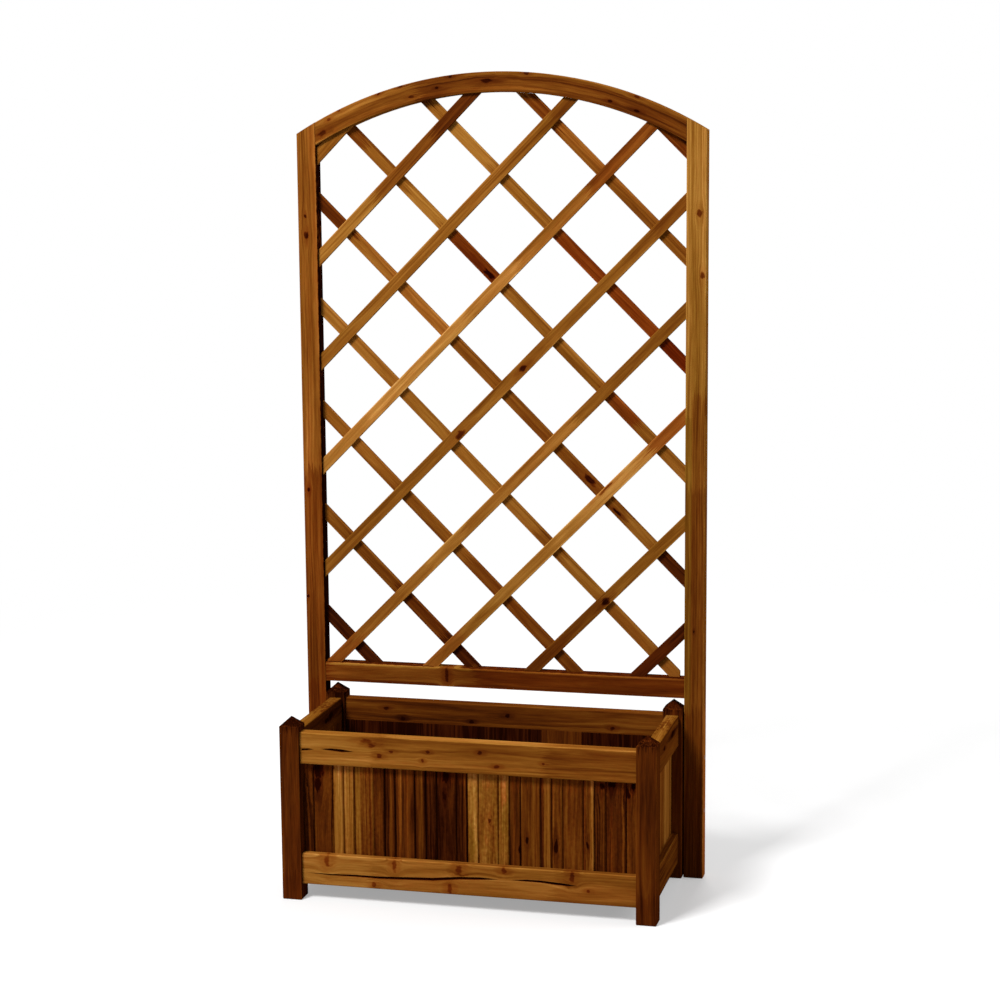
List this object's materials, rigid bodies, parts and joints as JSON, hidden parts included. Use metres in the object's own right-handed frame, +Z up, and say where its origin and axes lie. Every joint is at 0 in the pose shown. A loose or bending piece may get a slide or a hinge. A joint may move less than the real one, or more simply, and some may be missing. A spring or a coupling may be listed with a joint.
{
  "type": "planter with trellis",
  "caption": "Rectangular wooden floor planter on square legs, with matchboard sides and a tall arched trellis of crossed diagonal laths fixed to its back.",
  "frame": {"origin": "on the ground, under the middle of the planter's width and depth", "axes": "+X to the right seen from the front, +Y to the back where the trellis stands, +Z up"},
  "size_m": [0.9, 0.36, 1.744],
  "materials": {
    "leg_wood": "stained softwood, reddish brown, satin",
    "rail_wood": "stained softwood, ochre brown, satin",
    "matchboard_wood": "stained softwood boards with V joints, satin",
    "trellis_wood": "stained softwood, golden brown, satin",
    "lath_wood": "stained softwood laths, satin",
    "floor_wood": "sawn softwood, thinly stained, matt",
    "coated_steel": "brown coated, dull"
  },
  "bodies": {
    "root": {"back_board_1": "matchboard_wood", "back_board_2": "matchboard_wood", "back_board_3": "matchboard_wood", "back_board_4": "matchboard_wood", "back_board_5": "matchboard_wood", "back_board_6": "matchboard_wood", "back_board_7": "matchboard_wood", "back_board_8": "matchboard_wood", "back_bottom_rail": "rail_wood", "back_left_leg": "leg_wood", "back_right_leg": "leg_wood", "back_top_rail": "rail_wood", "falling_lath_1": "lath_wood", "falling_lath_2": "lath_wood", "falling_lath_3": "lath_wood", "falling_lath_4": "lath_wood", "falling_lath_5": "lath_wood", "falling_lath_6": "lath_wood", "falling_lath_7": "lath_wood", "falling_lath_8": "lath_wood", "falling_lath_9": "lath_wood", "floor_boards": "floor_wood", "front_board_1": "matchboard_wood", "front_board_2": "matchboard_wood", "front_board_3": "matchboard_wood", "front_board_4": "matchboard_wood", "front_board_5": "matchboard_wood", "front_board_6": "matchboard_wood", "front_board_7": "matchboard_wood", "front_board_8": "matchboard_wood", "front_bottom_rail": "rail_wood", "front_left_leg": "leg_wood", "front_right_leg": "leg_wood", "front_top_rail": "rail_wood", "lath_nails": "coated_steel", "left_board_1": "matchboard_wood", "left_board_2": "matchboard_wood", "left_board_3": "matchboard_wood", "left_bottom_rail": "rail_wood", "left_top_rail": "rail_wood", "post_screws": "coated_steel", "right_board_1": "matchboard_wood", "right_board_2": "matchboard_wood", "right_board_3": "matchboard_wood", "right_bottom_rail": "rail_wood", "right_top_rail": "rail_wood", "rising_lath_1": "lath_wood", "rising_lath_2": "lath_wood", "rising_lath_3": "lath_wood", "rising_lath_4": "lath_wood", "rising_lath_5": "lath_wood", "rising_lath_6": "lath_wood", "rising_lath_7": "lath_wood", "rising_lath_8": "lath_wood", "rising_lath_9": "lath_wood", "trellis_arch": "trellis_wood", "trellis_left_post": "trellis_wood", "trellis_rail": "trellis_wood", "trellis_right_post": "trellis_wood"}
  },
  "joints": []
}
